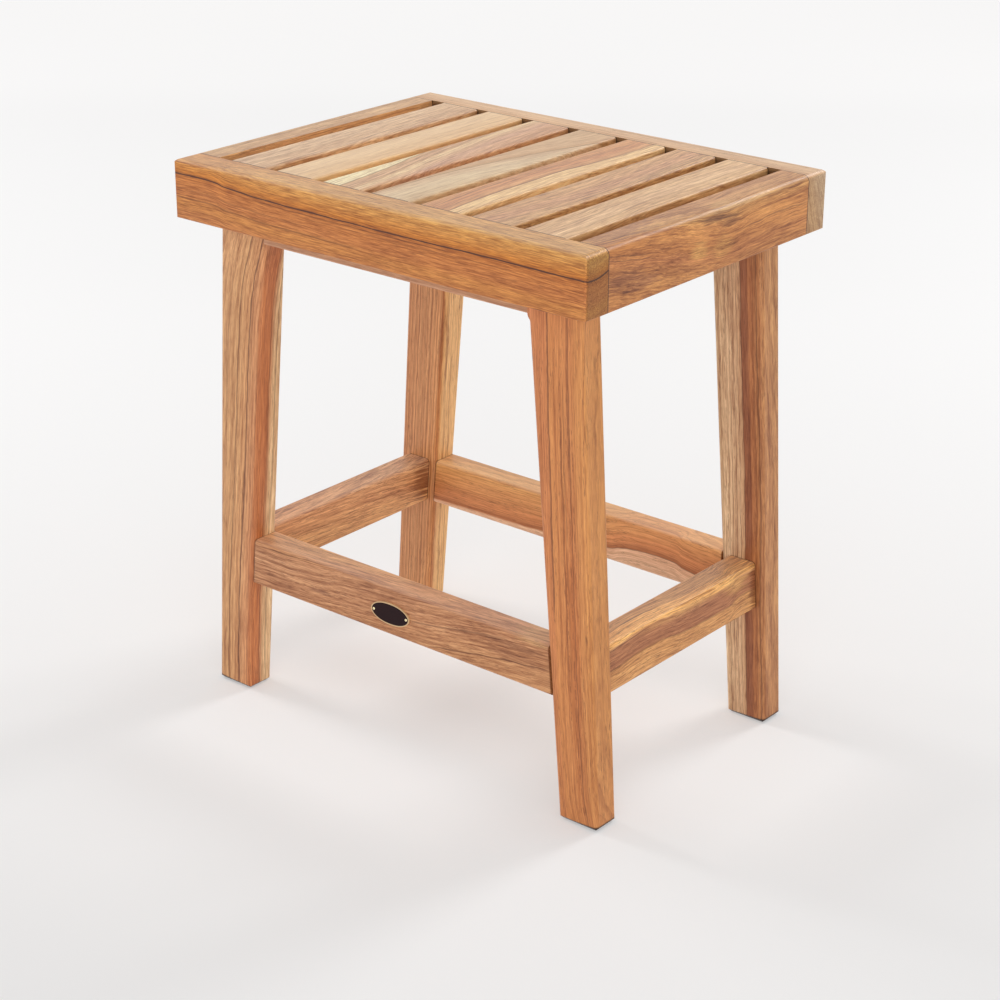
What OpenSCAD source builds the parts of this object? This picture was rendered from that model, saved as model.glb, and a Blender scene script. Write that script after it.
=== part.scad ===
// Slatted teak shower bench with splayed, tapered legs and four low stretchers.
// X runs along the seat, Y from front to back, Z up. The origin is on the floor, below
// the middle of the seat. Millimetres.

/* [Seat frame] */
// Length of the seat, end to end
seat_len = 400; // [340:5:520]
// Depth of the seat, front to back
seat_depth = 300; // [240:5:400]
// Height of the top of the seat above the floor
seat_height = 455; // [380:1:520]
// Height of the four rails that frame the seat
rail_h = 46.5; // [42:0.5:60]
// Thickness of the front and back rails
long_rail_t = 25; // [20:1:32]
// Thickness of the two end rails
end_rail_t = 25; // [20:1:32]
// Rounding along the outer top edge of the seat
top_round = 5; // [2:0.5:8]
// Rounding of the four upright corners of the seat
corner_round = 3; // [1:0.5:6]
// Easing along the lower outer edge of the rails
lower_round = 1.5; // [0.5:0.5:3]

/* [Slats] */
// Number of slats
slat_count = 7; // [5:1:9]
// Drain gap between two slats
slat_gap = 10; // [6:0.5:13]
// Drain gap between the outermost slats and the end rails
end_gap = 12; // [6:0.5:14]
// Thickness of the slats
slat_t = 20; // [15:0.5:24]
// Rounding along the long top edges of a slat
slat_round = 2; // [0.5:0.5:3]

/* [Legs] */
// Thickness of a leg, front to back
leg_t = 25; // [22:1:30]
// Width of a leg right under the slats
leg_top_w = 48.5; // [42:0.5:60]
// Width of a leg at the floor
leg_foot_w = 36.5; // [30:0.5:44]
// How far the feet stand out past the ends of the seat
foot_reach = 1; // [-12:1:20]
// Rounding of the long edges of a leg
leg_round = 4; // [1:0.5:5]
// Radius of the cutter whose rounding runs out under the aprons
cutter_r = 8; // [6:0.5:12]
// Chamfer round the sole of a foot
foot_chamfer = 3; // [0.5:0.25:4]

/* [Aprons] */
// Height of an apron, from the slats down
apron_h = 40.5; // [34:0.5:60]
// Thickness of an apron
apron_t = 20; // [16:1:24]

/* [Stretchers] */
// Height of the underside of the stretchers above the floor
stretcher_z = 100.5; // [60:0.5:200]
// Height of a stretcher's section
stretcher_h = 40; // [30:1:50]
// Thickness of the two short stretchers
short_t = 25.5; // [18:0.5:28]
// Rounding of the long edges of a stretcher
stretcher_round = 3; // [1:0.5:5]

/* [Tenons] */
// Thickness of every tenon
tenon_t = 9; // [6:0.5:10]
// Shoulder above and below a tenon
tenon_shoulder = 7; // [4:0.5:9]
// Length of the tenons on the short stretchers
short_tenon = 15; // [8:1:18]
// Length of the tenons on the aprons
apron_tenon = 15; // [8:1:17]
// Wood left between the two mortises that meet in a leg
mortise_web = 2.5; // [1.5:0.5:4]
// Gap all round a tenon in its mortise
tenon_gap = 0.15; // [0.05:0.05:0.4]

/* [Dowels] */
// Diameter of the dowels in the corners of the seat frame
corner_dowel_d = 8; // [6:1:10]
// Length of the corner dowels
corner_dowel_l = 36; // [28:1:44]
// Depth of a corner dowel in the long rail
corner_dowel_in = 15; // [10:1:16]
// Height between the two dowels of a corner
corner_dowel_pitch = 23; // [16:1:26]
// Diameter of the dowels in the ends of the slats
slat_dowel_d = 6; // [4:1:8]
// Length of the slat dowels
slat_dowel_l = 24; // [16:1:32]
// Distance between the two dowels in a slat's end
slat_dowel_pitch = 18; // [12:1:20]
// Gap between a dowel and the wall of its hole
dowel_gap = 0.1; // [0.05:0.05:0.3]
// Space left for glue beyond each end of a dowel
glue_space = 1; // [0.5:0.25:2]

/* [Screws] */
// Diameter of the stainless screws that hold legs and aprons to the rails
screw_d = 4.5; // [3.5:0.5:5]
// Diameter of a screw's countersunk head
screw_head_d = 8.6; // [7:0.2:10]
// Length of the screws through the legs, head included
leg_screw_l = 38; // [34:1:40]
// Length of the screws through the aprons, head included
apron_screw_l = 32; // [28:1:34]
// Distance between the two screws in a leg
leg_screw_pitch = 13; // [11:1:15]
// Distance between the screws along an apron
apron_screw_pitch = 80; // [50:5:110]
// Gap between a screw and the wall of its hole
screw_gap = 0.1; // [0.05:0.05:0.3]
// Depth of the heads below the surface of the wood
screw_sink = 0.6; // [0.2:0.1:2]

/* [Name plate] */
// Length of the bare oval plate on the front stretcher
plate_w = 39.5; // [30:0.5:50]
// Height of the oval plate
plate_h = 18.5; // [12:0.5:24]
// Thickness of the oval plate
plate_t = 1.2; // [0.8:0.1:3]
// Sideways offset of the plate from the middle of the stretcher
plate_x = -4; // [-40:1:40]
// Drop of the plate below the middle of the stretcher
plate_drop = 1; // [-6:0.5:6]
// Diameter of the two brass pins that hold the plate
pin_d = 1.4; // [1:0.1:2]
// Diameter of the domed head of a pin
pin_head_d = 2.4; // [1.8:0.1:3.4]
// Length of a pin below its head
pin_l = 9; // [5:1:14]
// Distance from the tip of the plate to the middle of a pin
pin_inset = 3; // [2.4:0.2:5]

/* [Hidden] */
$fn = 48;
eps = 1;                 // how far a cut runs past the surface it opens
lean_eps = 4;            // how far it runs past a leaning surface
join = 0.001;            // overlap of two cuts that meet
seat_gap = 0.3;          // gap between the top of a leg and the end rail beside it
driver_w = 1.1;          // width of the cross recess in a screw's head
driver_l = 4.6;          // length of each arm of the cross
driver_depth = 1.6;      // depth of the cross
leg_screw_step = 3.5;    // height of the two screws of a leg above and below the lap's middle
tip_l = 5;               // length of a screw's point
tip_d = 1;               // diameter at the very tip
dowel_nose = 0.8;        // chamfer on the ends of a dowel
dome_h = 0.7;            // height of a pin's domed head
dome_steps = 8;          // straight pieces along the outline of a domed head
edge_left = 0.2;         // sharp edge left between an apron and the run-out below it
arc_steps = 6;           // straight pieces along the rounding of a leaning section

// Levels
rail_z = seat_height - rail_h;               // underside of the rails
slat_z = seat_height - slat_t;               // underside of the slats, top of the legs
apron_z = slat_z - apron_h;                  // underside of the aprons
lap_z = (rail_z + slat_z) / 2;               // middle of the band where legs lap the rails
stretcher_mid = stretcher_z + stretcher_h / 2;

// Seat plan
half_len = seat_len / 2;
half_depth = seat_depth / 2;
inner_x = half_len - end_rail_t;             // inner face of an end rail
inner_y = half_depth - long_rail_t;          // inner face of a long rail, outer face of a leg
slat_w = (2 * (inner_x - end_gap) - (slat_count - 1) * slat_gap) / slat_count;

// Legs: the outer and inner edges of the right legs are straight lines in X and Z
foot_out = half_len + foot_reach;
foot_in = foot_out - leg_foot_w;
top_out = inner_x - seat_gap;
top_in = top_out - leg_top_w;
function leg_out(z) = foot_out + (top_out - foot_out) * z / slat_z;
function leg_in(z) = foot_in + (top_in - foot_in) * z / slat_z;
function leg_mid(z) = (leg_out(z) + leg_in(z)) / 2;
block_in = leg_in(apron_z);                  // inner face of the upright top of a leg
leg_back_y = inner_y - leg_t;                // face of a leg towards the middle of the bench
leg_mid_y = inner_y - leg_t / 2;
apron_mid_y = inner_y - apron_t / 2;
out_lean = atan((foot_out - top_out) / slat_z);
in_lean = atan((foot_in - top_in) / slat_z);
run_out = sqrt(cutter_r ^ 2 - (cutter_r - leg_round) ^ 2); // length of that run-out

// Joints
long_tenon = leg_mid(stretcher_mid) - leg_in(stretcher_mid) - tenon_t / 2 - mortise_web;
stretcher_tenon_h = stretcher_h - 2 * tenon_shoulder;
apron_tenon_h = apron_h - 2 * tenon_shoulder;
screw_head_h = (screw_head_d - screw_d) / 2; // a head with a right-angled cone
leg_screw_x = (block_in + apron_tenon + leg_out(lap_z)) / 2;
plate_z = stretcher_mid - plate_drop;
pin_x = plate_w / 2 - pin_inset;

slat_nodes = [for (i = [1:slat_count]) str("slat_", i)];

teak_orange = [0.78, 0.50, 0.29];
teak_tan = [0.84, 0.66, 0.46];
teak_red = [0.76, 0.47, 0.30];
teak_brown = [0.72, 0.47, 0.29];
dowel_wood = [0.86, 0.72, 0.52];
steel = [0.74, 0.75, 0.77];
plate_black = [0.13, 0.09, 0.07];
brass = [0.80, 0.64, 0.32];

// ---- shared shapes ----

// A copy at each of the four corners of the bench, of what is drawn at +X, +Y
module four_corners() {
    for (mx = [0, 1], my = [0, 1]) mirror([mx, 0, 0]) mirror([0, my, 0]) children();
}

// Rectangle from its low corner, with a radius for each corner:
// low left, low right, high right, high left
module soft_rect(size, radii) {
    corners = [[0, 0], [size[0], 0], size, [0, size[1]]];
    inward = [[1, 1], [-1, 1], [-1, -1], [1, -1]];
    difference() {
        square(size);
        for (i = [0:3]) if (radii[i] > 0)
            translate(corners[i]) scale([inward[i][0], inward[i][1]]) translate([-eps, -eps])
                difference() {
                    square(radii[i] + eps);
                    translate([radii[i] + eps, radii[i] + eps]) circle(radii[i]);
                    translate([radii[i] + eps, -eps]) square([radii[i], radii[i] + 3 * eps]);
                }
    }
}

// Prism that rounds an edge along +Z, with the wood on the -X, -Y side
module edge_rounder(length, r) {
    linear_extrude(length) difference() {
        translate([-r, -r]) square(r + eps);
        translate([-r, -r]) circle(r);
    }
}

// Outer form of the whole seat, to which the four rails are cut
module seat_form() {
    side = [lower_round, lower_round, top_round, top_round];
    plan = [corner_round, corner_round, corner_round, corner_round];
    intersection() {
        translate([-half_len, half_depth, rail_z]) rotate([90, 0, 0])
            linear_extrude(seat_depth) soft_rect([seat_len, rail_h], side);
        translate([-half_len, -half_depth, rail_z]) rotate([90, 0, 90])
            linear_extrude(seat_len) soft_rect([seat_depth, rail_h], side);
        translate([-half_len, -half_depth, rail_z])
            linear_extrude(rail_h) soft_rect([seat_len, seat_depth], plan);
    }
}

// Section of a leaning bar in X and Z: level above and below, its sides parallel to the
// leg, its corners rounded. The bar's middle is at x = mid, z = stretcher_mid.
function lean_corner(mid, side, up) = let (dz = up * stretcher_h / 2)
    [leg_mid(stretcher_mid + dz) - leg_mid(stretcher_mid) + mid + side * short_t / 2,
     stretcher_mid + dz];
function unit(v) = v / norm(v);
// Points of an arc of radius r that is tangent to both sides of the corner p
function soft_corner(before, p, after, r) =
    let (a = unit(before - p), b = unit(after - p), half = acos(a * b) / 2,
         centre = p + unit(a + b) * r / sin(half),
         start = unit(p + a * r / tan(half) - centre),
         turn = sign(a[0] * b[1] - a[1] * b[0]) * -1 * (180 - 2 * half))
    [for (i = [0:arc_steps]) let (t = turn * i / arc_steps)
        centre + r * [start[0] * cos(t) - start[1] * sin(t),
                      start[0] * sin(t) + start[1] * cos(t)]];
function soft_polygon(points, r) = [for (i = [0:len(points) - 1])
    each soft_corner(points[(i + len(points) - 1) % len(points)], points[i],
                     points[(i + 1) % len(points)], r)];

// Hole for a dowel that is centred on the origin along Y
module dowel_hole(d, l) {
    rotate([90, 0, 0]) cylinder(h = l + 2 * glue_space, d = d + 2 * dowel_gap, center = true);
}

// Dowel centred on the origin along Y, with chamfered ends
module dowel(d, l) {
    rotate([90, 0, 0]) rotate_extrude() polygon([
        [0, -l / 2], [d / 2 - dowel_nose, -l / 2], [d / 2, -l / 2 + dowel_nose],
        [d / 2, l / 2 - dowel_nose], [d / 2 - dowel_nose, l / 2], [0, l / 2]]);
}

// ---- places of the fasteners, drawn once at +X, +Y ----

module at_corner_dowels() {
    for (s = [-1, 1])
        translate([half_len - end_rail_t / 2, inner_y + corner_dowel_in - corner_dowel_l / 2,
                   rail_z + rail_h / 2 + s * corner_dowel_pitch / 2])
            children();
}

function slat_x(i) = -inner_x + end_gap + (i - 1) * (slat_w + slat_gap);

// Both dowels at the back end of slat i
module at_slat_dowels(i) {
    for (s = [-1, 1])
        translate([slat_x(i) + slat_w / 2 + s * slat_dowel_pitch / 2, inner_y,
                   slat_z + slat_t / 2])
            children();
}

// Screws run along +Y, from inside the bench out into the long rail
module at_leg_screws() {
    for (s = [-1, 1])
        translate([leg_screw_x + s * leg_screw_pitch / 2, leg_back_y + screw_sink,
                   lap_z + s * leg_screw_step])
            children();
}

module at_apron_screws() {
    for (s = [-1, 0, 1])
        translate([s * apron_screw_pitch, inner_y - apron_t + screw_sink, lap_z]) children();
}

module screw(length) {
    rotate([-90, 0, 0]) difference() {
        union() {
            cylinder(h = screw_head_h, d1 = screw_head_d, d2 = screw_d);
            translate([0, 0, screw_head_h])
                cylinder(h = length - screw_head_h - tip_l, d = screw_d);
            translate([0, 0, length - tip_l]) cylinder(h = tip_l, d1 = screw_d, d2 = tip_d);
        }
        for (a = [0, 90]) rotate([0, 0, a])
            translate([-driver_l / 2, -driver_w / 2, -eps])
                cube([driver_l, driver_w, driver_depth + eps]);
    }
}

module screw_hole(length) {
    rotate([-90, 0, 0]) {
        translate([0, 0, -screw_sink - eps])
            cylinder(h = screw_sink + eps + join, d = screw_head_d + 2 * screw_gap);
        cylinder(h = screw_head_h, d1 = screw_head_d + 2 * screw_gap,
                 d2 = screw_d + 2 * screw_gap);
        translate([0, 0, screw_head_h - join])
            cylinder(h = length - screw_head_h + glue_space, d = screw_d + 2 * screw_gap);
    }
}

// ---- rails ----

// The back rail; the front one is its mirror image
module long_rail() {
    color(teak_orange) difference() {
        intersection() {
            seat_form();
            translate([-half_len, inner_y, rail_z]) cube([seat_len, long_rail_t, rail_h]);
        }
        for (m = [0, 1]) mirror([m, 0, 0]) {
            at_corner_dowels() dowel_hole(corner_dowel_d, corner_dowel_l);
            at_leg_screws() screw_hole(leg_screw_l);
        }
        for (i = [1:slat_count]) at_slat_dowels(i) dowel_hole(slat_dowel_d, slat_dowel_l);
        at_apron_screws() screw_hole(apron_screw_l);
    }
}

// The right end rail, between the two long rails
module end_rail() {
    color(teak_brown) difference() {
        intersection() {
            seat_form();
            translate([inner_x, -inner_y, rail_z]) cube([end_rail_t, 2 * inner_y, rail_h]);
        }
        for (m = [0, 1]) mirror([0, m, 0])
            at_corner_dowels() dowel_hole(corner_dowel_d, corner_dowel_l);
    }
}

// ---- slats ----

module slat(i) {
    color(teak_tan) difference() {
        translate([slat_x(i), inner_y, slat_z]) rotate([90, 0, 0])
            linear_extrude(2 * inner_y)
                soft_rect([slat_w, slat_t], [0, 0, slat_round, slat_round]);
        for (m = [0, 1]) mirror([0, m, 0])
            at_slat_dowels(i) dowel_hole(slat_dowel_d, slat_dowel_l);
    }
}

// ---- legs ----

// Outline of the back right leg in X and Z, its foot chamfered at both sides
leg_outline = [
    [foot_in + foot_chamfer, 0], [leg_in(foot_chamfer), foot_chamfer],
    [block_in, apron_z], [block_in, slat_z], [top_out, slat_z],
    [leg_out(foot_chamfer), foot_chamfer], [foot_out - foot_chamfer, 0]];

// Draws its children along both long edges of one narrow side of a leg, front and back
module at_leg_edges(x, lean, side) {
    for (back = [0, 1])
        translate([x, back == 1 ? inner_y : leg_back_y, 0]) rotate([0, -lean, 0])
            scale([side, back == 1 ? 1 : -1, 1]) children();
}

// Rounding that stops at a height, where the cutter's own shape lets it run out
module stopped_rounder(length) {
    translate([0, 0, -2 * eps]) edge_rounder(length + 2 * eps, leg_round);
    translate([cutter_r - leg_round, 0, length]) rotate([-90, 0, 0]) rotate(180)
        rotate_extrude(angle = 180) difference() {
            translate([0, -leg_round]) square([cutter_r, leg_round + eps]);
            translate([cutter_r, -leg_round]) circle(leg_round);
        }
}

// Wedges that chamfer the sole of a foot, front and back
module foot_chamfers() {
    c = foot_chamfer * sqrt(2);
    for (y = [leg_back_y, inner_y])
        translate([foot_out - leg_foot_w / 2, y, 0]) rotate([45, 0, 0])
            cube([leg_foot_w + 2 * eps, c, c], center = true);
}

module leg() {
    gap = tenon_gap;
    color(teak_red) difference() {
        translate([0, inner_y, 0]) rotate([90, 0, 0]) linear_extrude(leg_t)
            polygon(leg_outline);
        at_leg_edges(foot_out, out_lean, 1) translate([0, 0, -2 * eps])
            edge_rounder(slat_z / cos(out_lean) + 3 * eps, leg_round);
        at_leg_edges(foot_in, in_lean, -1)
            stopped_rounder((apron_z - edge_left) / cos(in_lean) - run_out);
        foot_chamfers();
        // mortise for the long stretcher
        translate([leg_in(stretcher_mid) - lean_eps, leg_mid_y - tenon_t / 2 - gap,
                   stretcher_z + tenon_shoulder - gap])
            cube([long_tenon + lean_eps + gap, tenon_t + 2 * gap, stretcher_tenon_h + 2 * gap]);
        // mortise for the short stretcher
        translate([leg_mid(stretcher_mid) - tenon_t / 2 - gap, leg_back_y - eps,
                   stretcher_z + tenon_shoulder - gap])
            cube([tenon_t + 2 * gap, short_tenon + eps + gap, stretcher_tenon_h + 2 * gap]);
        // mortise for the apron
        translate([block_in - eps, apron_mid_y - tenon_t / 2 - gap,
                   apron_z + tenon_shoulder - gap])
            cube([apron_tenon + eps + gap, tenon_t + 2 * gap, apron_tenon_h + 2 * gap]);
        at_leg_screws() screw_hole(leg_screw_l);
    }
}

// ---- aprons and stretchers ----

module apron() {
    color(teak_tan) difference() {
        union() {
            translate([-block_in, inner_y - apron_t, apron_z])
                cube([2 * block_in, apron_t, apron_h]);
            translate([-block_in - apron_tenon, apron_mid_y - tenon_t / 2,
                       apron_z + tenon_shoulder])
                cube([2 * (block_in + apron_tenon), tenon_t, apron_tenon_h]);
        }
        at_apron_screws() screw_hole(apron_screw_l);
    }
}

// The back stretcher, as thick as the legs; its shoulders follow their lean
module long_stretcher_blank() {
    reach = leg_in(stretcher_mid) + long_tenon;
    intersection() {
        translate([-half_len, leg_back_y, stretcher_z]) rotate([90, 0, 90])
            linear_extrude(seat_len)
                soft_rect([leg_t, stretcher_h], [for (i = [1:4]) stretcher_round]);
        translate([0, inner_y, 0]) rotate([90, 0, 0]) linear_extrude(leg_t)
            polygon([[leg_in(stretcher_z), stretcher_z],
                     [leg_in(stretcher_z + stretcher_h), stretcher_z + stretcher_h],
                     [-leg_in(stretcher_z + stretcher_h), stretcher_z + stretcher_h],
                     [-leg_in(stretcher_z), stretcher_z]]);
    }
    translate([-reach, leg_mid_y - tenon_t / 2, stretcher_z + tenon_shoulder])
        cube([2 * reach, tenon_t, stretcher_tenon_h]);
}

module long_stretcher() {
    color(teak_brown) long_stretcher_blank();
}

// The front stretcher carries the name plate
module front_stretcher() {
    color(teak_brown) difference() {
        mirror([0, 1, 0]) long_stretcher_blank();
        at_plate_pins() translate([0, 0, -pin_l - glue_space])
            cylinder(h = pin_l + glue_space + eps, d = pin_d + 2 * screw_gap);
    }
}

// The right short stretcher, in line with the lean of its legs
module short_stretcher() {
    mid = leg_mid(stretcher_mid);
    length = 2 * leg_back_y;
    section = [lean_corner(mid, -1, -1), lean_corner(mid, 1, -1), lean_corner(mid, 1, 1),
               lean_corner(mid, -1, 1)];
    color(teak_brown) {
        translate([0, leg_back_y, 0]) rotate([90, 0, 0]) linear_extrude(length)
            polygon(soft_polygon(section, stretcher_round));
        translate([mid - tenon_t / 2, -leg_back_y - short_tenon, stretcher_z + tenon_shoulder])
            cube([tenon_t, length + 2 * short_tenon, stretcher_tenon_h]);
    }
}

// ---- fasteners ----

module corner_dowels() {
    color(dowel_wood) four_corners() at_corner_dowels() dowel(corner_dowel_d, corner_dowel_l);
}

module slat_dowels() {
    color(dowel_wood) for (m = [0, 1], i = [1:slat_count]) mirror([0, m, 0])
        at_slat_dowels(i) dowel(slat_dowel_d, slat_dowel_l);
}

module leg_screws() {
    color(steel) four_corners() at_leg_screws() screw(leg_screw_l);
}

module apron_screws() {
    color(steel) for (m = [0, 1]) mirror([0, m, 0]) at_apron_screws() screw(apron_screw_l);
}

// ---- name plate ----

// The face of the front stretcher, with Z pointing out of it
module at_plate() {
    translate([plate_x, -inner_y, plate_z]) rotate([90, 0, 0]) children();
}

module at_plate_pins() {
    at_plate() for (s = [-1, 1]) translate([s * pin_x, 0, 0]) children();
}

module name_plate() {
    color(plate_black) difference() {
        at_plate() linear_extrude(plate_t) scale([plate_w / plate_h, 1]) circle(d = plate_h);
        at_plate_pins() translate([0, 0, -eps])
            cylinder(h = plate_t + 2 * eps, d = pin_d + 2 * screw_gap);
    }
}

module plate_pins() {
    color(brass) at_plate_pins() {
        translate([0, 0, -pin_l]) cylinder(h = pin_l + plate_t, d = pin_d);
        translate([0, 0, plate_t]) rotate_extrude() polygon(concat([[0, 0]],
            [for (i = [0:dome_steps]) let (t = 90 * i / dome_steps)
                [pin_head_d / 2 * cos(t), dome_h * sin(t)]]));
    }
}

mirror([0, 1, 0]) long_rail();  // rail_front
long_rail();  // rail_back
mirror([1, 0, 0]) end_rail();  // rail_left
end_rail();  // rail_right
for (i = [1:slat_count]) slat(i);
mirror([1, 0, 0]) mirror([0, 1, 0]) leg();  // leg_front_left
mirror([0, 1, 0]) leg();  // leg_front_right
mirror([1, 0, 0]) leg();  // leg_back_left
leg();  // leg_back_right
mirror([0, 1, 0]) apron();  // apron_front
apron();  // apron_back
front_stretcher();  // stretcher_front
long_stretcher();  // stretcher_back
mirror([1, 0, 0]) short_stretcher();  // stretcher_left
short_stretcher();  // stretcher_right
corner_dowels();
slat_dowels();
leg_screws();
apron_screws();
name_plate();
plate_pins();
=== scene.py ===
"""Looks for the slatted teak shower bench: oiled teak, board by board, in a pale studio."""
import math

import bpy
from mathutils import Matrix, Vector

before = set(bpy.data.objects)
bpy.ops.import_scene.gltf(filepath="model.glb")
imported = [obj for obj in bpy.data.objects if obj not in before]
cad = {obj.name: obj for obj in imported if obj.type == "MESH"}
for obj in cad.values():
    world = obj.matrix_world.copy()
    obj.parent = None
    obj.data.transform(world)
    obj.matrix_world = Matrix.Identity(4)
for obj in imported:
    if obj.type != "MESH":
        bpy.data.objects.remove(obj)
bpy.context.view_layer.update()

MM = 0.001


# ---- node graphs ----

class Value:
    """One output of a node. Arithmetic on it adds Math nodes to the same tree."""

    def __init__(self, tree, socket):
        self.tree, self.socket = tree, socket

    def math(self, operation, *others):
        node = self.tree.nodes.new("ShaderNodeMath")
        node.operation = operation
        for slot, item in zip(node.inputs, (self, *others)):
            feed(self.tree, slot, item)
        return Value(self.tree, node.outputs[0])

    def __add__(self, other):
        return self.math("ADD", other)

    def __sub__(self, other):
        return self.math("SUBTRACT", other)

    def __mul__(self, other):
        return self.math("MULTIPLY", other)

    def __rsub__(self, other):
        return self.math("MULTIPLY_ADD", -1.0, other)

    __radd__, __rmul__ = __add__, __mul__

    def abs(self):
        return self.math("ABSOLUTE")

    def ease(self, low, high, start=0.0, end=1.0):
        """Smooth step from start, at low, to end, at high."""
        node = self.tree.nodes.new("ShaderNodeMapRange")
        node.interpolation_type = "SMOOTHSTEP"
        for slot, item in zip(node.inputs, (self, low, high, start, end)):
            feed(self.tree, slot, item)
        return Value(self.tree, node.outputs[0])


def feed(tree, slot, item):
    if isinstance(item, Value):
        tree.links.new(item.socket, slot)
    else:
        slot.default_value = item


def vector(tree, operation, first, second=None, scale=None, out=0):
    node = tree.nodes.new("ShaderNodeVectorMath")
    node.operation = operation
    feed(tree, node.inputs[0], first)
    if second is not None:
        feed(tree, node.inputs[1], second)
    if scale is not None:
        feed(tree, node.inputs["Scale"], scale)
    return Value(tree, node.outputs[out])


def dot(tree, first, second):
    return vector(tree, "DOT_PRODUCT", first, second, out=1)


def combine(tree, x, y, z):
    node = tree.nodes.new("ShaderNodeCombineXYZ")
    for slot, item in zip(node.inputs, (x, y, z)):
        feed(tree, slot, item)
    return Value(tree, node.outputs[0])


def noise(tree, place, detail=2.0, roughness=0.5):
    """Noise from 0 to 1 round 0.5, at a 3D place or along a line."""
    node = tree.nodes.new("ShaderNodeTexNoise")
    if place.socket.type == "VALUE":
        node.noise_dimensions = "1D"
        feed(tree, node.inputs["W"], place)
    else:
        feed(tree, node.inputs["Vector"], place)
    for name, item in (("Scale", 1.0), ("Detail", detail), ("Roughness", roughness)):
        node.inputs[name].default_value = item
    return Value(tree, node.outputs[0])


def mix(tree, factor, first, second, blend="MIX"):
    node = tree.nodes.new("ShaderNodeMix")
    node.data_type, node.blend_type = "RGBA", blend
    feed(tree, node.inputs["Factor"], factor)
    first_color, second_color, result = 6, 7, 2      # the node's sockets for colours
    feed(tree, node.inputs[first_color], first)
    feed(tree, node.inputs[second_color], second)
    return Value(tree, node.outputs[result])


def linear(color):
    """A colour as written for the screen, #rrggbb, in the renderer's own linear values."""
    parts = [int(color[i:i + 2], 16) / 255 for i in (1, 3, 5)]
    return [p / 12.92 if p <= 0.04045 else ((p + 0.055) / 1.055) ** 2.4 for p in parts] + [1.0]


def color_ramp(tree, value, stops, interpolation="EASE"):
    """Colours at given values, blended in between."""
    low, high = stops[0][0], stops[-1][0]
    node = tree.nodes.new("ShaderNodeValToRGB")
    ramp = node.color_ramp
    ramp.interpolation = interpolation
    while len(ramp.elements) > 1:
        ramp.elements.remove(ramp.elements[-1])
    ramp.elements[0].position, ramp.elements[0].color = 0.0, linear(stops[0][1])
    for place, color in stops[1:]:
        ramp.elements.new((place - low) / (high - low)).color = linear(color)
    feed(tree, node.inputs[0], (value - low) * (1 / (high - low)))
    return Value(tree, node.outputs[0])


def curve(tree, value, points):
    """Smooth curve through (value, result) points."""
    x0, x1 = points[0][0], points[-1][0]
    y0, y1 = min(p[1] for p in points), max(p[1] for p in points)
    node = tree.nodes.new("ShaderNodeFloatCurve")
    line = node.mapping.curves[0].points
    while len(line) < len(points):
        line.new(0.5, 0.5)
    for knot, (x, y) in zip(line, points):
        knot.location = ((x - x0) / (x1 - x0), (y - y0) / (y1 - y0))
        knot.handle_type = "AUTO"
    node.mapping.update()
    feed(tree, node.inputs["Value"], (value - x0) * (1 / (x1 - x0)))
    return Value(tree, node.outputs[0]) * (y1 - y0) + y0


def new_material(name):
    """An empty material, its tree and its surface shader."""
    material = bpy.data.materials.new(name)
    material.use_nodes = True
    tree = material.node_tree
    tree.nodes.clear()
    shader = tree.nodes.new("ShaderNodeBsdfPrincipled")
    output = tree.nodes.new("ShaderNodeOutputMaterial")
    tree.links.new(shader.outputs[0], output.inputs[0])
    return material, tree, shader


def object_place(tree):
    return Value(tree, tree.nodes.new("ShaderNodeTexCoord").outputs["Object"])


def bump(tree, shader, height, strength, depth):
    node = tree.nodes.new("ShaderNodeBump")
    node.inputs["Strength"].default_value = strength
    node.inputs["Distance"].default_value = depth
    feed(tree, node.inputs["Height"], height)
    tree.links.new(node.outputs[0], shader.inputs["Normal"])


# ---- teak ----
#
# Each board is coloured in its own millimetres: a runs along the grain, b across its best
# face and c down into the wood. The growth layers are the surfaces of equal depth
#     s = b * turn + c * tilt + bow * (c - bow_at)^2 - line(a) + a little waviness
# so that a line on one face runs on over the edges and the end grain. line(a) is the way
# that one layer takes along the best face.
#
# What a board may say, and what it gets otherwise in PLAIN:
#   line                      points (a, b) of that one layer
#   turn, tilt, bow, bow_at   how the layers lie behind the best face
#   wave, ripple              how far they stray, slowly and quickly
#   stops                     colours by layer: s, colour
#   marks                     dark lines: s, half width, strength, and where on a they run
#   dashes                    rows of dark dashes, in the same order
#   patches                   tinted ovals: middle a, b, c, reach in a, b, c, tint, strength
#   seams                     joints across the board, and a leg's painted contact shadow at its foot:
#                             a, lean, half width, strength
#   lips                      joints along it: b, half width, strength
#   ring, rings               distance between growth rings, and how much they show
#   broad, streak, fiber      strength of the slow, middling and fine figure
#   pores                     strength of the pores
#   ends, side, pale          end grain's tint, painted light on the narrow sides (painted shade
#                             below 1), and a painted sheen on the tops
#   inner                     painted shade near the top and deep down, on faces into a drain gap
#                             (painted light above 1)

X, Y, Z = (1, 0, 0), (0, 1, 0), (0, 0, 1)

PLAIN = dict(line=[(0, 0), (1, 0.001)], tilt=0.3, bow=0.0, bow_at=0.0, turn=1.0, wave=2.0,
             ripple=2.2, marks=[], patches=[], ring=3.4, rings=0.2, broad=0.35, streak=0.7,
             fiber=0.8, pores=0.5, side=1.0, inner=None, pale=0.1, dashes=[], seams=[], lips=[],
             ends="#e0dccf", seed=0.0)
# the last of these colours is a painted sheen that the tops are paled towards
LINE, PORE, DASH, JOINT_AND_FOOT_SHADOW, PAINTED_SHEEN = "#532a17", "#5c3320", "#7c4426", "#2b140b", "#efe3d6"

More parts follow.
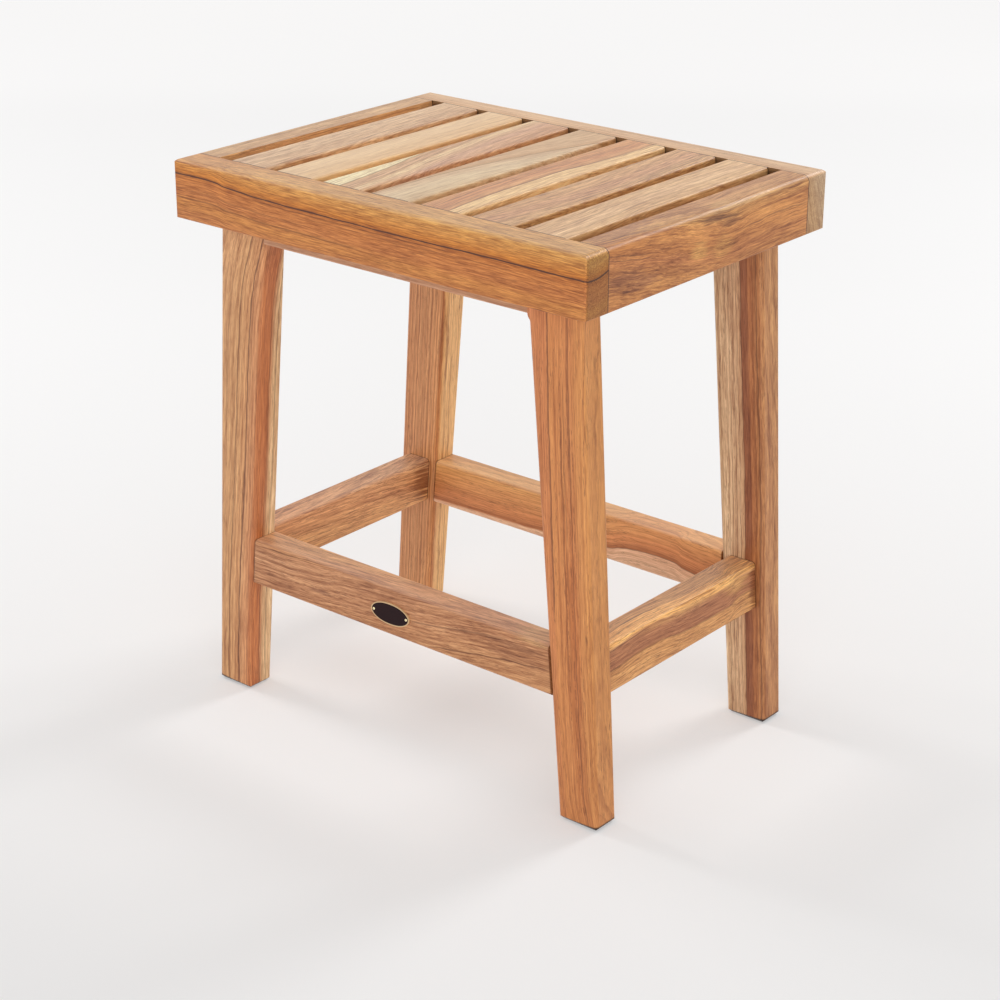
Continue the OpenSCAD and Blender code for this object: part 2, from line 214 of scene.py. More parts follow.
# Steps of each noise per millimetre: along the grain, across it or the layers, and inwards.
DRIFT, RIPPLE = (0.007, 0.03, 0.03), (0.045, 0.10, 0.10)
BROAD, STREAK, FIBER = (0.012, 0.09, 0.06), (0.018, 0.42, 0.2), (0.07, 1.15, 0.7)
GRAINS, CROWD = (0.12, 1.9, 1.9), (0.02, 0.30, 0.1)
WARMTH = (0.9, 1.25, 1.45)      # powers of the tone: dark grain is redder, light grain golden
FACING = (0.75, 0.97)           # how square to an axis a face begins to count, and counts fully
MARK_FADE, DASH_FADE = 12, 8    # how gently a line or a row of dashes starts and stops


def paced(tree, place, pace, shift=(0, 0, 0)):
    """Where a noise is read: every coordinate at its own pace, plus a shift."""
    return combine(tree, *(part * step + move if move else part * step
                           for part, step, move in zip(place, pace, shift)))


def stripe(off, width, amount, core=0.4):
    """amount in the core of a stripe, falling to nothing at its half width."""
    return off.ease(width, width * core, 0.0, amount)


def between(a, start, stop, fade):
    """1 from start to stop along the grain, fading either side of both."""
    return a.ease(start - fade, start + fade) * a.ease(stop + fade, stop - fade)


def growth(tree, a, b, c, how):
    """The growth layer s, and the way across the layers."""
    seed = how["seed"]
    drift = noise(tree, paced(tree, (a, b, c), DRIFT, (seed, 0, 0)), 1.0) - 0.5
    ripple = noise(tree, paced(tree, (a, b, c), RIPPLE, (0, seed, 0)), 2.0) - 0.5
    s = b * how["turn"] + c * how["tilt"] - curve(tree, a, how["line"])
    if how["bow"]:
        out = c - how["bow_at"]
        s = s + out * out * how["bow"]
    s = s + drift * how["wave"] + ripple * how["ripple"]
    return s, c * how["turn"] - b * how["tilt"]


def add_patches(tree, color, a, b, c, ragged, patches):
    """Tinted ovals with ragged edges."""
    for place_a, place_b, place_c, ra, rb, rc, tint, amount in patches:
        off = combine(tree, (a - place_a) * (1 / ra), (b - place_b) * (1 / rb),
                      (c - place_c) * (1 / rc))
        reach = vector(tree, "LENGTH", off, out=1) + ragged
        color = mix(tree, reach.ease(1.15, 0.35, 0.0, amount), color, linear(tint))
    return color


def add_lines(tree, color, a, s, fiber, how):
    """Single dark lines, and rows of dashes."""
    for at, width, amount, *ends in how["marks"]:
        mark = stripe((s - at).abs() + fiber * (width * 0.9), width, amount, core=0.35)
        if ends:
            mark = mark * between(a, *ends, MARK_FADE)
        color = mix(tree, mark, color, linear(LINE))
    for at, width, amount, start, stop in how["dashes"]:
        row = stripe((s - at).abs() + fiber * width, width, amount, core=0.3)
        cuts = noise(tree, combine(tree, a * 0.13, how["seed"] + at, 0.0), 3.0).ease(0.45, 0.60)
        dash = row * cuts * between(a, start, stop, DASH_FADE)
        color = mix(tree, dash, color, linear(DASH))
    return color


def add_faces(tree, color, axes, a, b, end, normal, how):
    """End grain drinks more oil, the tops get a painted sheen, the narrow sides painted light
    (painted shade where side is below 1), faces that look into the drain gaps painted shade
    by depth (painted light where inner is above 1), and joints are dark lines, as is the
    painted contact shadow at the foot of each leg."""
    color = mix(tree, end * 0.8, color, linear(how["ends"]), "MULTIPLY")
    # painted sheen: faces that look up are paled towards the sheen colour
    top = dot(tree, normal, Z).ease(0.6, 0.95, 0.0, how["pale"])
    color = mix(tree, top, color, linear(PAINTED_SHEEN))
    # painted shade on faces that look into a drain gap, from the first value near the top to the
    # second deep down; above 1 it is painted light
    if how["inner"]:
        inward = dot(tree, normal, list(axes[2])).ease(*FACING)
        shade = b.ease(0.5, 9.0, *how["inner"]) - 1
        color = vector(tree, "SCALE", color, scale=1 + inward * shade)
    # painted light on the narrow sides, painted shade where side is below 1
    if how["side"] != 1:
        side = dot(tree, normal, list(axes[1])).abs().ease(*FACING)
        color = vector(tree, "SCALE", color, scale=1 + side * (how["side"] - 1))
    # dark joints, and on the legs a painted contact shadow at the foot
    for at, lean, width, amount in how["seams"]:
        seam = stripe((a - b * lean - at).abs(), width, amount)
        color = mix(tree, seam, color, linear(JOINT_AND_FOOT_SHADOW))
    for at, width, amount in how["lips"]:
        color = mix(tree, stripe((b - at).abs(), width, amount), color, linear(JOINT_AND_FOOT_SHADOW))
    return color


def teak(name, origin, axes, stops, **how):
    """Material for one board. origin is where a, b and c are 0, axes are their directions."""
    how = {**PLAIN, **how}
    material, tree, shader = new_material("teak_" + name)
    place = object_place(tree)
    a, b, c = (dot(tree, place, [x / MM for x in axis]) - sum(o * x for o, x in zip(origin, axis))
               for axis in axes)
    seed = how["seed"]
    s, cross = growth(tree, a, b, c, how)
    along = (a, s, cross)

    # broad tone, streaks and fibres, all drawn out along the grain, and the growth rings
    broad = noise(tree, paced(tree, along, BROAD, (0, seed, 0)), 2.0) - 0.5
    streak = noise(tree, paced(tree, along, STREAK, (0, -seed, 0)), 3.0, 0.6) - 0.5
    fiber = noise(tree, paced(tree, along, FIBER, (0, 0, seed)), 3.0, 0.6) - 0.5
    uneven = (noise(tree, s * 0.16 + seed, 1.0) - 0.5) * 2.4
    phase = (s * (1 / how["ring"]) + uneven).math("FRACT")
    late = phase.ease(0.35, 0.95) * (1 - phase.ease(0.95, 1.0))
    tone = broad * how["broad"] + streak * how["streak"] + fiber * how["fiber"]
    tone = (1 + tone - late * how["rings"]).math("MAXIMUM", 0.1)

    color = color_ramp(tree, s, stops)
    ragged = streak * 2.4 + fiber * 0.8
    color = add_patches(tree, color, a, b, c, ragged, how["patches"])
    warm = combine(tree, *(tone.math("POWER", power) for power in WARMTH))
    color = vector(tree, "MULTIPLY", color, warm)
    color = add_lines(tree, color, a, s, fiber, how)

    # pores: short dashes, more of them in some layers than in others
    grains = noise(tree, paced(tree, (a, b, c), GRAINS, (0, seed, 0)), 2.0, 0.55)
    crowd = noise(tree, paced(tree, along, CROWD, (seed, 0, 0)), 2.0)
    pore = (grains + (crowd - 0.5) * 0.5).ease(0.60, 0.70, 0.0, how["pores"])
    color = mix(tree, pore, color, linear(PORE))

    normal = Value(tree, tree.nodes.new("ShaderNodeNewGeometry").outputs["True Normal"])
    end = dot(tree, normal, list(axes[0])).abs().ease(*FACING)
    color = add_faces(tree, color, axes, a, b, end, normal, how)
    tree.links.new(color.socket, shader.inputs["Base Color"])

    # oiled and satin: duller in the pores and on end grain
    rough = 0.50 - tone * 0.06 + pore * 0.2 + end * 0.12
    tree.links.new(rough.socket, shader.inputs["Roughness"])
    shader.inputs["Specular IOR Level"].default_value = 0.45
    bump(tree, shader, fiber * 0.4 - pore, strength=0.35, depth=0.12 * MM)
    return material


def minus(axis):
    return tuple(-v for v in axis)


def box(name):
    """A node's low and high corners in the frame, in millimetres."""
    corners = [cad[name].matrix_world @ Vector(corner) for corner in cad[name].bound_box]
    return [[round(pick(corner[i] for corner in corners) / MM, 2) for i in range(3)]
            for pick in (min, max)]


def joints(length, width, amount):
    """Dark seams at both ends of a board."""
    return [(0, 0, width, amount), (length, 0, width, amount)]


# places on the bench, in millimetres
(_, _, rail_foot), (seat_x, _, seat_top) = box("rail_front")
seat_y = box("rail_back")[1][1]
inner_y = box("rail_right")[1][1]           # the long rails' inner faces
leg_in = box("leg_back_right")[0][1]        # the legs' inner faces
stretcher_top = box("stretcher_front")[1][2]
apron_x, stretcher_x = 128, 150             # a = 0 on the aprons and the long stretchers
right_face, left_face = 188.2, -162.2       # the short stretchers' right faces

boards = {
    "rail_front": dict(
        origin=(-seat_x, -seat_y, seat_top), axes=(X, minus(Z), Y),
        line=[(0, 10.7), (35, 10.7), (55, 12.9), (80, 14.5), (110, 15.7), (150, 16.3),
              (200, 17.0), (260, 17.3), (300, 17.0), (350, 17.3), (400, 17.7)],
        tilt=-0.2, bow=0.0125, bow_at=0.0, wave=0.5, ripple=0.9, ring=4.2, rings=0.1,
        streak=0.6, fiber=2.1, pores=0.35, ends="#c2c7b3", inner=(0.4, 0.08),
        stops=[(-18, "#d29952"), (-12, "#ce8f48"), (-7, "#c9833a"), (-3, "#c1752a"),
               (-0.8, "#b56925"), (1, "#be7130"), (6, "#c07538"), (14, "#bf753b"),
               (22, "#c37d3d"), (32, "#be773f")],
        marks=[(0, 0.9, 1.0), (2.8, 0.8, 0.5, 90, 280), (5.6, 0.7, 0.3, 120, 330),
               (11.5, 0.8, 0.3, 20, 140), (18.2, 0.9, 0.5, 0, 190)], seed=1.3),
    "rail_back": dict(
        origin=(-seat_x, seat_y, seat_top), axes=(X, minus(Z), minus(Y)), ends="#cad4e2",
        turn=0.35, tilt=1.0, inner=(0.4, 0.08),
        stops=[(-10, "#e4be99"), (10, "#ddb183"), (30, "#d9a46e"), (50, "#d59f68")], seed=2.1),
    "rail_right": dict(
        origin=(seat_x, -inner_y, seat_top), axes=(Y, minus(Z), minus(X)),
        line=[(0, 0), (40, 7), (80, 15), (120, 22), (150, 25), (175, 23), (250, 22)],
        wave=3.0, ripple=4.0, tilt=-1.0, streak=1.3, fiber=1.8, broad=1.2, pale=0.04,
        stops=[(-50, "#c78d58"), (-28, "#c38951"), (-20, "#c78e50"), (-8, "#c48143"),
               (4, "#b97539"), (12, "#b7733d"), (18, "#b8773e"), (26, "#bf7f43"),
               (46, "#b8763d")],
        marks=[(-15, 0.9, 0.4, 20, 90), (6, 0.7, 0.5, 0, 50), (9.5, 0.7, 0.5, 0, 50),
               (-16.3, 1.1, 0.55, 95, 155), (-2, 0.8, 0.4, 155, 250)],
        patches=[(20, 26, 0, 26, 8, 20, "#8d5538", 0.6), (42, 34, 0, 22, 6, 20, "#905738", 0.6),
                 (128, 6, 0, 20, 5, 14, "#885731", 0.7), (146, 12, 0, 14, 6, 14, "#915e34", 0.6),
                 (108, 27, 0, 13, 8, 6, "#d19851", 0.8), (138, 30, 0, 15, 8, 6, "#ce954e", 0.7),
                 (215, 30, 0, 60, 14, 10, "#cd8a4a", 0.5), (35, 0, 17, 50, 8, 10, "#aa724c", 0.7),
                 # the last patch here is a painted highlight along the top outer edge
                 (143, 0, 5, 20, 5, 6, "#d4a366", 0.7), (170, 1, 0, 85, 3, 3, "#ddb480", 0.6)],
        pores=0.35, seams=joints(2 * inner_y, 1.1, 0.9), seed=3.7),
    "rail_left": dict(
        origin=(-seat_x, -inner_y, seat_top), axes=(Y, minus(Z), X),
        streak=1.0, fiber=1.4, inner=(1.3, 1.2), seams=joints(2 * inner_y, 1.1, 0.9),
        stops=[(-10, "#cca271"), (10, "#c79562"), (30, "#c28b57"), (50, "#bf8651")], seed=4.4),
    "slat_1": dict(stops=[(-10, "#dbb388"), (10, "#d8af84"), (28, "#d3a679"), (44, "#cfa173")],
                   line=[(0, 2), (90, 0), (150, -4), (250, -8)],
                   marks=[(18, 0.9, 0.2, 5, 140), (33, 1.0, 0.25, 30, 230)],
                   patches=[(35, 36, 0, 20, 4, 8, "#bc844b", 0.6)], seed=5.2),
    "slat_2": dict(stops=[(-10, "#e7c190"), (14, "#e9c292"), (30, "#e4b985"), (44, "#deaf77")],
                   line=[(0, 0), (120, -1), (250, -3)], ring=4.6, rings=0.06, seed=6.9),
    "slat_3": dict(
        line=[(0, 17.5), (50, 12.5), (100, 3.5), (122, 0), (150, -4), (180, -8), (250, -12)],
        stops=[(-18, "#f3e1b1"), (-0.6, "#f3ddac"), (0.4, "#c29761"), (2, "#d3a473"),
               (8, "#d4a477"), (11, "#c49161"), (15, "#e2bc8a"), (22, "#d4a477"),
               (28, "#cf9b76"), (36, "#cb9468"), (50, "#c79061")],
        marks=[(0.2, 0.7, 0.5), (10.5, 1.0, 0.2)], wave=1.0, seed=7.1),
    "slat_4": dict(
        line=[(0, 4), (60, 5), (110, 11), (150, 18), (190, 28), (205, 33), (250, 42)],
        stops=[(-42, "#d0a879"), (-10, "#d1a677"), (-2, "#cc9d6b"), (0, "#ba8d5a"),
               (2, "#d5b085"), (14, "#dabb91"), (34, "#d8b789")],
        marks=[(0, 1.2, 0.3, 50, 220)], wave=1.0, seed=8.6),
    "slat_5": dict(
        line=[(0, 28), (30, 24.5), (60, 22.5), (100, 21.5), (130, 21.5), (160, 24), (190, 26.5),
              (215, 27.5), (250, 27)],
        stops=[(-28, "#d19459"), (-18, "#cf8c50"), (-10, "#ca844b"), (-4, "#d2945a"),
               (-0.6, "#ba7b45"), (0.8, "#e8bc80"), (14, "#e7ba80")],
        marks=[(-0.4, 0.8, 0.45), (-15, 0.9, 0.3), (-11, 0.8, 0.25, 0, 120)], wave=1.0, seed=9.3),
    "slat_6": dict(
        line=[(0, -6), (60, 0), (110, 3), (160, 2), (250, -3)],
        stops=[(-10, "#cc9a62"), (10, "#cb955f"), (22, "#c98f61"), (34, "#ca9660"),
               (46, "#d09f67")],
        marks=[(30, 0.7, 0.35, 140, 250), (33.5, 0.7, 0.35, 150, 250), (27, 0.7, 0.25, 160, 250)],
        patches=[(70, 14, 0, 5, 6, 5, "#ab7541", 0.6), (55, 24, 0, 16, 4, 5, "#b37c47", 0.4)],
        seed=10.5),
    "slat_7": dict(
        line=[(0, 4), (60, 2), (120, -2), (180, -1), (250, 0)],
        stops=[(-10, "#daa874"), (8, "#d8a873"), (22, "#dfb07e"), (30, "#d7a670"),
               (44, "#d9a870")],
        marks=[(8, 0.7, 0.2), (15, 0.7, 0.22, 30, 170), (27, 0.7, 0.22, 40, 110)], seed=11.8),
    "apron_front": dict(
        origin=(-apron_x, -inner_y, rail_foot), axes=(X, minus(Z), Y),
        stops=[(-30, "#d09d73"), (4, "#ce9a73"), (9, "#d3a179"), (14, "#c89674")],
        streak=0.5, pores=0.3, lips=[(0, 1.0, 0.6)], seed=12.4),
    "apron_back": dict(
        origin=(-apron_x, inner_y, rail_foot), axes=(X, minus(Z), minus(Y)),
        stops=[(-30, "#cc975f"), (0, "#c98e58"), (14, "#c68a55")], seed=13.6),
    "stretcher_front": dict(
        origin=(-stretcher_x, -inner_y, stretcher_top), axes=(X, minus(Z), Y),
        line=[(0, 0), (50, -2), (100, -8), (150, -13), (200, -20), (250, -28), (300, -34)],
        stops=[(-25, "#d89d61"), (-10, "#d19761"), (0, "#c88d5f"), (10, "#c28960"),
               (34, "#c1875d"), (44, "#bc8257"), (60, "#bf8659"), (76, "#c3895b")],
        marks=[(4, 0.8, 0.5, 15, 70), (36, 1.0, 0.5, 165, 255), (54, 0.9, 0.5, 190, 300)],
        dashes=[(26, 0.8, 0.52, 10, 150), (31, 0.8, 0.52, 10, 170), (37, 0.8, 0.52, 0, 150),
                (47, 0.8, 0.45, 100, 260), (60, 0.8, 0.45, 180, 300)],
        patches=[(72, 25, 0, 14, 2.5, 6, "#89553b", 0.7), (9, 0, 5, 12, 4, 4, "#a6602b", 0.6),
                 (270, 19, 0, 32, 5, 12, "#9b6442", 0.6), (275, 9.5, 0, 30, 4, 12, "#9e6947", 0.7),
                 (285, 0, 12, 22, 5, 16, "#dbb17b", 0.7)],
        tilt=-1.0, pores=0.5, wave=2.5, ripple=2.6, streak=1.6, fiber=1.4, broad=0.9, side=1.1,
        seams=[(302.1, 0.088, 0.6, 0.25), (-2.1, -0.088, 0.8, 0.7)], seed=14.2),
    "stretcher_back": dict(
        origin=(-stretcher_x, leg_in, stretcher_top), axes=(X, minus(Z), Y),
        line=[(0, 36), (110, 34), (190, 29), (200, 26), (220, 23), (240, 22.5), (255, 23),
              (265, 26), (300, 30)],
        stops=[(-40, "#e1a968"), (-20, "#d9975d"), (-8, "#d68d57"), (-1, "#be7849"),
               (0.8, "#eebf99"), (14, "#efc49f")],
        marks=[(-0.4, 0.8, 0.5, 180, 300)], tilt=-0.3, wave=0.8, side=1.05,
        seams=[(302.1, 0.088, 0.8, 0.4), (-2.1, -0.088, 0.9, 0.7)], seed=15.9),
    "stretcher_right": dict(
        line=[(0, 3), (10, 3), (50, 0), (80, 2), (120, 6), (160, 6), (180, 2), (200, 4)],
        stops=[(-32, "#d2985e"), (-18, "#d2985e"), (-15, "#f2b468"), (-3, "#f2b468"),
               (0, "#c78b5a"), (3, "#ad6e45"), (16, "#ab6c43"), (18.5, "#cf9256"),
               (38, "#d2965b")],
        marks=[(17.6, 0.8, 0.4), (-17, 0.9, 0.6, 35, 75), (1, 0.8, 0.5, 5, 45),
               (-14, 0.8, 0.5, 155, 195)],
        dashes=[(23, 0.7, 0.52, 0, 190), (28, 0.7, 0.52, 10, 190), (33, 0.7, 0.45, 0, 180)],
        patches=[(100, 6, 0, 50, 4.5, 14, "#c99057", 0.7), (172, 8, 0, 20, 9, 12, "#d69f5b", 0.8),
                 # the patch at a 198 is painted shade where the stretcher meets the back leg
                 (198, 20, 0, 8, 30, 20, "#7a4020", 0.7), (175, 0, 12, 28, 6, 12, "#b4774a", 0.45)],
        tilt=-1.0, wave=1.5, streak=1.3, fiber=1.5, pores=0.6,
        seams=joints(2 * leg_in, 1.0, 0.9), seed=16.3),
    "stretcher_left": dict(
        stops=[(-10, "#d59f70"), (10, "#d29460"), (24, "#d59a63"), (46, "#cd935d")],
        line=[(0, -4), (80, 0), (200, 10)], streak=1.5, fiber=1.5, broad=0.6, pores=0.6,
        # this patch is painted shade where the stretcher meets the back leg
        patches=[(192, 18, 0, 14, 26, 30, "#7a3e1f", 0.6)],
        dashes=[(8, 0.7, 0.45, 0, 180), (17, 0.7, 0.45, 10, 170), (27, 0.7, 0.45, 0, 180)],
        seams=joints(2 * leg_in, 1.0, 0.9), seed=17.7),
    "leg_front_right": dict(
        line=[(0, 13.1), (40, 11.1), (100, 9.0), (180, 7.5), (250, 6.6), (300, 5.9), (400, 9.3)],
        stops=[(-40, "#d38857"), (-19, "#cf834f"), (-17, "#d2884e"), (-6, "#d1884f"),
               (0, "#cc824c"), (8, "#d38e52"), (20, "#c98747"), (36, "#c68448")],
        marks=[(0, 0.7, 0.5), (-5, 0.8, 0.35, 60, 290), (-7.5, 0.7, 0.4, 90, 290),
               (-18.5, 1.0, 0.65, 0, 240), (-1, 0.7, 0.3, 10, 130)],
        dashes=[(-8, 0.8, 0.52, 70, 150), (-6.5, 0.8, 0.52, 200, 330), (-2, 0.9, 0.59, 170, 400),
                (2.2, 0.8, 0.52, 90, 220), (6, 0.8, 0.52, 280, 380)],
        patches=[(270, 4, 0, 130, 8, 10, "#b8632d", 0.5),
                 (420, 0, 10, 190, 60, 60, "#b97641", 0.35)],
        tilt=0.2, wave=1.0, streak=0.6, seed=18.5),
    "leg_front_left": dict(
        line=[(0, 26), (20, 20), (50, 13.3), (80, 10.3), (120, 8.9), (180, 8), (240, 6.2),
              (300, 4), (360, 3.3), (409, 4.6)],
        stops=[(-30, "#d09b6c"), (-12, "#cf9968"), (-1, "#ce9362"), (1, "#d09566"),
               (8, "#ce8d5e"), (12, "#bd7344"), (22, "#ba6e3d"), (23, "#bd7544"),
               (29, "#e0b889"), (48, "#e4bf91")],
        marks=[(0, 0.9, 0.75), (-11.3, 0.8, 0.55), (-22.5, 0.7, 0.3, 40, 180), (24, 0.8, 0.4),
               (31, 0.7, 0.5)],
        tilt=1.0, wave=0.8, streak=1.4, fiber=1.2, rings=0.16, pores=0.3, seed=19.2),
    "leg_back_right": dict(
        line=[(0, 3), (100, 3), (200, 4), (300, 2.5), (409, 2)],
        stops=[(-30, "#d4b28a"), (-6, "#d0a881"), (-0.6, "#c89b73"), (0.6, "#925736"),
               (5, "#925736"), (8, "#ab6b3f"), (16, "#b87b4b"), (30, "#c18c55")],
        marks=[(0.2, 0.7, 0.5), (-4, 0.5, 0.3), (-7.5, 0.5, 0.3), (-11, 0.5, 0.3),
               (-14.5, 0.5, 0.25), (11, 0.6, 0.3), (14.5, 1.0, 0.6)],
        dashes=[(-9, 0.6, 0.45, 20, 380), (-16, 0.6, 0.45, 20, 380), (10, 0.7, 0.45, 20, 380)],
        tilt=0.2, wave=0.7, streak=1.3, fiber=1.4, seed=20.8),
    "leg_back_left": dict(
        line=[(0, 0), (409, 3)],
        stops=[(-24, "#cd8f60"), (0, "#d19563"), (14, "#d49661"), (18, "#c37f48"),
               (22, "#e5b377"), (50, "#e8b77a")],
        marks=[(-12, 0.6, 0.3), (-8, 0.6, 0.3), (-4.5, 0.6, 0.35), (0, 0.6, 0.3),
               (5, 0.6, 0.3), (9, 0.6, 0.25)], tilt=0.6, wave=0.7, ring=2.6, rings=0.32,
        patches=[(155, 19, 0, 45, 3, 12, "#9b5729", 0.6)], seed=21.4),
}

# the slats: how strongly each is figured, and how much painted light their sides get (painted shade
# below 1)
slat_grain = (1.4, 0.55, 1.2, 0.8, 1.2, 1.6, 1.25)
slat_side_painted_light = (1.05, 1.05, 1.05, 1.05, 1.05, 0.95, 0.95)
for number, (grain, light) in enumerate(zip(slat_grain, slat_side_painted_light), 1):
    slat = f"slat_{number}"
    boards[slat].update(
        origin=(box(slat)[0][0], -inner_y, seat_top), axes=(Y, X, minus(Z)), side=light,
        streak=grain, fiber=1.4 * grain, pores=0.15, rings=0.1,
        seams=joints(2 * inner_y, 1.4, 0.92))

# the short stretchers lean with the legs; both are coloured from their right faces
for name, face in (("stretcher_right", right_face), ("stretcher_left", left_face)):
    boards[name].update(origin=(face, -leg_in, stretcher_top), axes=(Y, minus(Z), minus(X)))

# the legs: a runs down the middle of the leg from the underside of the rails
leg_top, leg_foot = 152.4, 182.75       # the leg's middle there and on the floor
# the dark band at the foot of each leg is a painted contact shadow
sole = 409.6                            # a at the foot, where the dark line meets the floor
for name in [n for n in boards if n.startswith("leg")]:
    side = 1 if name.endswith("right") else -1
    front = "front" in name
    down = Vector((side * (leg_foot - leg_top), 0, -rail_foot)).normalized()
    across = Vector((-down.z, 0, down.x))
    boards[name].update(
        origin=(side * leg_top, -inner_y if front else leg_in, rail_foot),
        axes=(tuple(down), tuple(across), Y), seams=[(sole, 0, 3.6, 1.0)])


def soften(thing, width, angle=40):
    """Closes the mesh, breaks its sharp edges and smooths its shading."""
    weld = thing.modifiers.new("weld", "WELD")
    weld.merge_threshold = 0.002 * MM
    bevel = thing.modifiers.new("bevel", "BEVEL")
    bevel.width, bevel.segments = width, 2
    bevel.limit_method, bevel.angle_limit = "ANGLE", math.radians(angle)
    bevel.use_clamp_overlap = True
    bevel.harden_normals = False
    normals = thing.modifiers.new("normals", "WEIGHTED_NORMAL")
    normals.keep_sharp = True


def dress(name, material):
    thing = cad[name]
    thing.data.materials.clear()
    thing.data.materials.append(material)
    return thing


for name, board in boards.items():
    dress(name, teak(name, **board))


# ---- fasteners and plate ----

def plain_metal(name, color, rough):
    """Metal with faint scratches."""
    material, tree, shader = new_material(name)
    place = object_place(tree)
    scratches = 900.0       # a metre
    scratch = noise(tree, vector(tree, "SCALE", place, scale=scratches), 3.0) - 0.5
    scratched = vector(tree, "SCALE", linear(color)[:3], scale=1 + scratch * 0.12)
    feed(tree, shader.inputs["Base Color"], scratched)
    feed(tree, shader.inputs["Roughness"], rough + scratch * 0.15)
    shader.inputs["Metallic"].default_value = 1.0
    return material


def dowel_wood(name):
    """Pale wood with its grain along Y, as the dowels lie."""
    material, tree, shader = new_material(name)
    place = object_place(tree)
    across, along = 2400.0, 120.0       # steps of the grain a metre
    grain = noise(tree, vector(tree, "MULTIPLY", place, (across, along, across)), 3.0)
    color = mix(tree, grain, linear("#c39a66"), linear("#dcbb8a"))
    feed(tree, shader.inputs["Base Color"], color)
    shader.inputs["Roughness"].default_value = 0.7
    return material


def plate_finish():
    """Near-black plate with a thin gold line near its edge."""
    material, tree, shader = new_material("plate_finish")
    place = object_place(tree)
    low, high = (Vector(corner) for corner in box("name_plate"))
    middle, half = (low + high) / 2, (high - low) / 2
    off = vector(tree, "SUBTRACT", place, tuple(middle * MM))
    off = vector(tree, "MULTIPLY", off, (1 / MM, 0.0, 1 / MM))
    share = vector(tree, "MULTIPLY", off, (1 / half.x, 0.0, 1 / half.z))
    reach = vector(tree, "LENGTH", share, out=1).math("MAXIMUM", 0.05)
    edge = ((1 - reach) * vector(tree, "LENGTH", off, out=1)).math("DIVIDE", reach)
    rim = edge.ease(1.2, 0.8)       # by how far in from the edge, in millimetres
    mottle = noise(tree, vector(tree, "SCALE", place, scale=1500.0), 3.0)
    black = mix(tree, mottle, linear("#1f0f11"), linear("#2b1619"))
    feed(tree, shader.inputs["Base Color"], mix(tree, rim, black, linear("#d3b184")))
    feed(tree, shader.inputs["Specular IOR Level"], 0.12 + rim * 0.4)
    feed(tree, shader.inputs["Roughness"], 0.5 - rim * 0.1 + (mottle - 0.5) * 0.1)
    return material


steel = plain_metal("screw_steel", "#bfc1c4", 0.35)
brass = plain_metal("pin_brass", "#f3e2b4", 0.25)
dowel = dowel_wood("dowel_wood")
for name, material in (("leg_screws", steel), ("apron_screws", steel), ("plate_pins", brass),
                       ("corner_dowels", dowel), ("slat_dowels", dowel),
                       ("name_plate", plate_finish())):
    dress(name, material)


# ---- studio ----

def add_floor():
    """A wide pale floor. The camera sees it paler than it lights the bench, with its shadows.

    The photograph's view takes in only part of the floor. From the middle of the bench that is
    0.44 m towards the camera, 3.05 m away from it, 1.01 m to either side, and nowhere beyond
    3.21 m. Outside it the lamps' own pools of light would show from other sides, so there the
    floor turns to one pale tone, between the two distances given for each way, in metres.
    """
    half = 7.0
    before, all_round, sideways = (-0.8, -2.2), (3.3, 4.2), (1.1, 1.9)
    pale_tone = 0.955
    mesh = bpy.data.meshes.new("floor")
    mesh.from_pydata([(-half, -half, 0), (half, -half, 0), (half, half, 0), (-half, half, 0)],
                     [], [(0, 1, 2, 3)])
    floor = bpy.data.objects.new("floor", mesh)
    bpy.context.scene.collection.objects.link(floor)
    material, tree, shader = new_material("floor")
    seen = rays_seen(tree)
    place = object_place(tree)
    look_x, look_y = -0.634, 0.773          # the way the photograph's camera looks
    far = dot(tree, place, (look_x, look_y, 0.0))
    beside = dot(tree, place, (look_y, -look_x, 0.0)).abs()
    away = vector(tree, "LENGTH", place, out=1)
    outside = far.ease(*before).math("MAXIMUM", away.ease(*all_round))
    outside = outside.math("MAXIMUM", beside.ease(*sideways))
    lit = mix(tree, outside, linear("#c9c9c9"), linear("#000000"))
    tint = mix(tree, seen, linear("#efedec"), lit)
    feed(tree, shader.inputs["Base Color"], tint)
    glow = curve(tree, far, [(-1.2, 0.35), (-0.7, 0.310), (-0.42, 0.322), (-0.15, 0.335),
                             (0.0, 0.327), (0.25, 0.332), (0.56, 0.335), (0.9, 0.335),
                             (1.3, 0.320), (1.8, 0.330), (2.3, 0.40), (3.0, 0.49)])
    glow = glow + (pale_tone - glow) * outside
    feed(tree, shader.inputs["Emission Strength"], seen * glow)
    shader.inputs["Emission Color"].default_value = linear("#fffdfc")
    shader.inputs["Roughness"].default_value = 0.9
    shader.inputs["Specular IOR Level"].default_value = 0.0
    mesh.materials.append(material)


def add_light(name, place, target, size, watts):
    data = bpy.data.lights.new(name, "AREA")
    data.shape, data.size, data.energy = "DISK", size, watts
    light = bpy.data.objects.new(name, data)
    light.location = place
    light.rotation_euler = (Vector(target) - Vector(place)).to_track_quat("-Z", "Y").to_euler()
    bpy.context.scene.collection.objects.link(light)


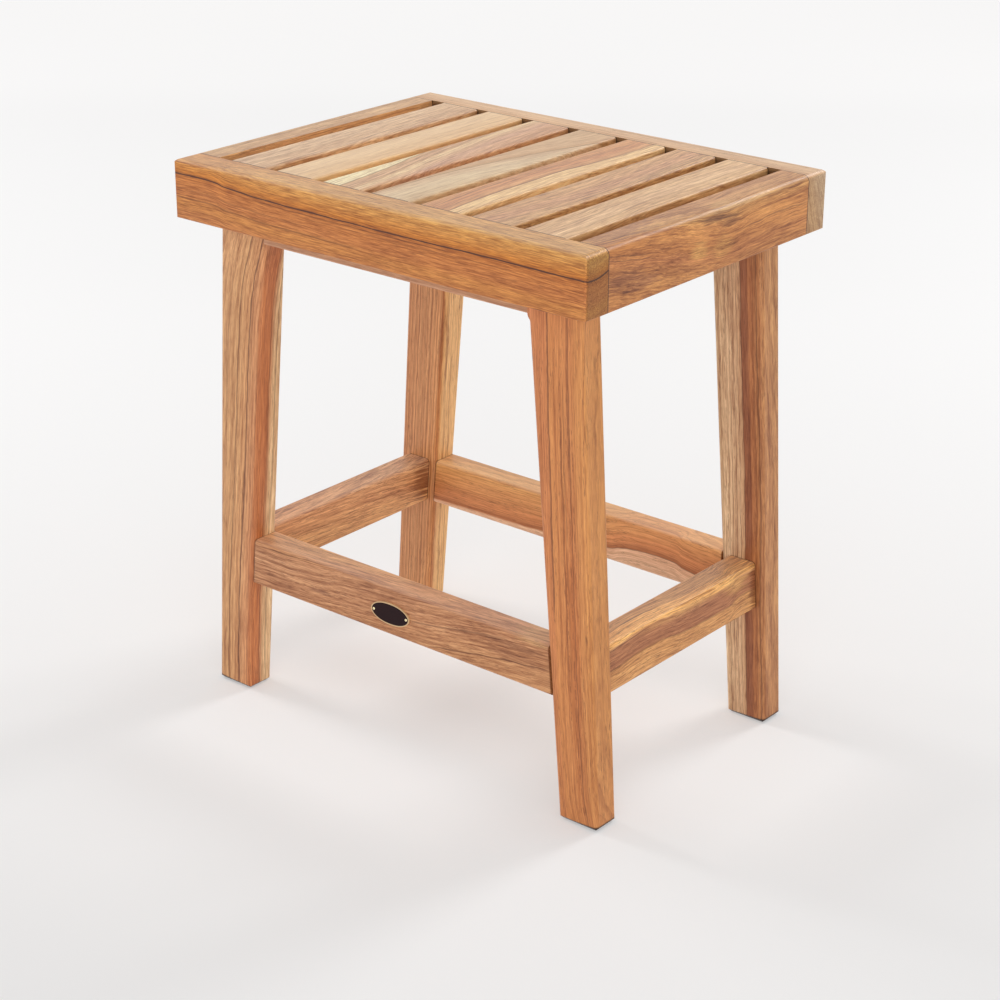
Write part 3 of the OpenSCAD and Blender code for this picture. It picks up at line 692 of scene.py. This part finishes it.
def add_camera():
    """The photograph's view, as solved from it."""
    azimuth, elevation, roll = (math.radians(v) for v in (39.374, 22.779, 0.267))
    place = (1.120093, -1.361016, 0.916947)
    sensor, focal_ratio = 36.0, 2.365312
    back = Vector((math.sin(azimuth) * math.cos(elevation),
                   -math.cos(azimuth) * math.cos(elevation), math.sin(elevation)))
    right = Vector((math.cos(azimuth), math.sin(azimuth), 0))
    up = back.cross(right)
    turned = right * math.cos(roll) + up * math.sin(roll)
    risen = up * math.cos(roll) - right * math.sin(roll)
    data = bpy.data.cameras.new("camera")
    data.sensor_width, data.lens = sensor, sensor * focal_ratio
    camera = bpy.data.objects.new("camera", data)
    pose = Matrix((turned, risen, back)).transposed().to_4x4()
    pose.translation = Vector(place)
    camera.matrix_world = pose
    bpy.context.scene.collection.objects.link(camera)
    bpy.context.scene.camera = camera


def rays_seen(tree):
    """1 for what the camera sees, straight or in gloss and glass, otherwise 0."""
    path = tree.nodes.new("ShaderNodeLightPath").outputs
    seen = Value(tree, path["Is Camera Ray"])
    for name in ("Is Glossy Ray", "Is Transmission Ray"):
        seen = seen.math("MAXIMUM", Value(tree, path[name]))
    return seen


def set_world():
    """Soft light, strongest from low down; the camera and reflections see an even white."""
    world = bpy.data.worlds.new("world")
    bpy.context.scene.world = world
    world.use_nodes = True
    tree = world.node_tree
    tree.nodes.clear()
    light = tree.nodes.new("ShaderNodeBackground")
    light.inputs[0].default_value = linear("#ffffff")
    height = dot(tree, Value(tree, tree.nodes.new("ShaderNodeTexCoord").outputs["Generated"]), Z)
    seen = rays_seen(tree)
    backdrop, horizon, zenith = 0.95, 1.25, 0.42
    glow = height.ease(0.0, 0.7, horizon, zenith)
    feed(tree, light.inputs[1], seen * backdrop + (1 - seen) * glow)
    output = tree.nodes.new("ShaderNodeOutputWorld")
    tree.links.new(light.outputs[0], output.inputs[0])


add_camera()
add_floor()
set_world()
middle = (0, 0, 0.25)
add_light("back", (0.5, 2.5, 2.0), middle, 1.0, 31)
add_light("left", (-2.7, -0.2, 1.9), middle, 1.0, 31)
add_light("fill", (2.5, -3.0, 1.25), middle, 3.4, 50)
bpy.context.scene.view_settings.view_transform = "Standard"

for name in boards:
    soften(cad[name], 0.4 * MM)
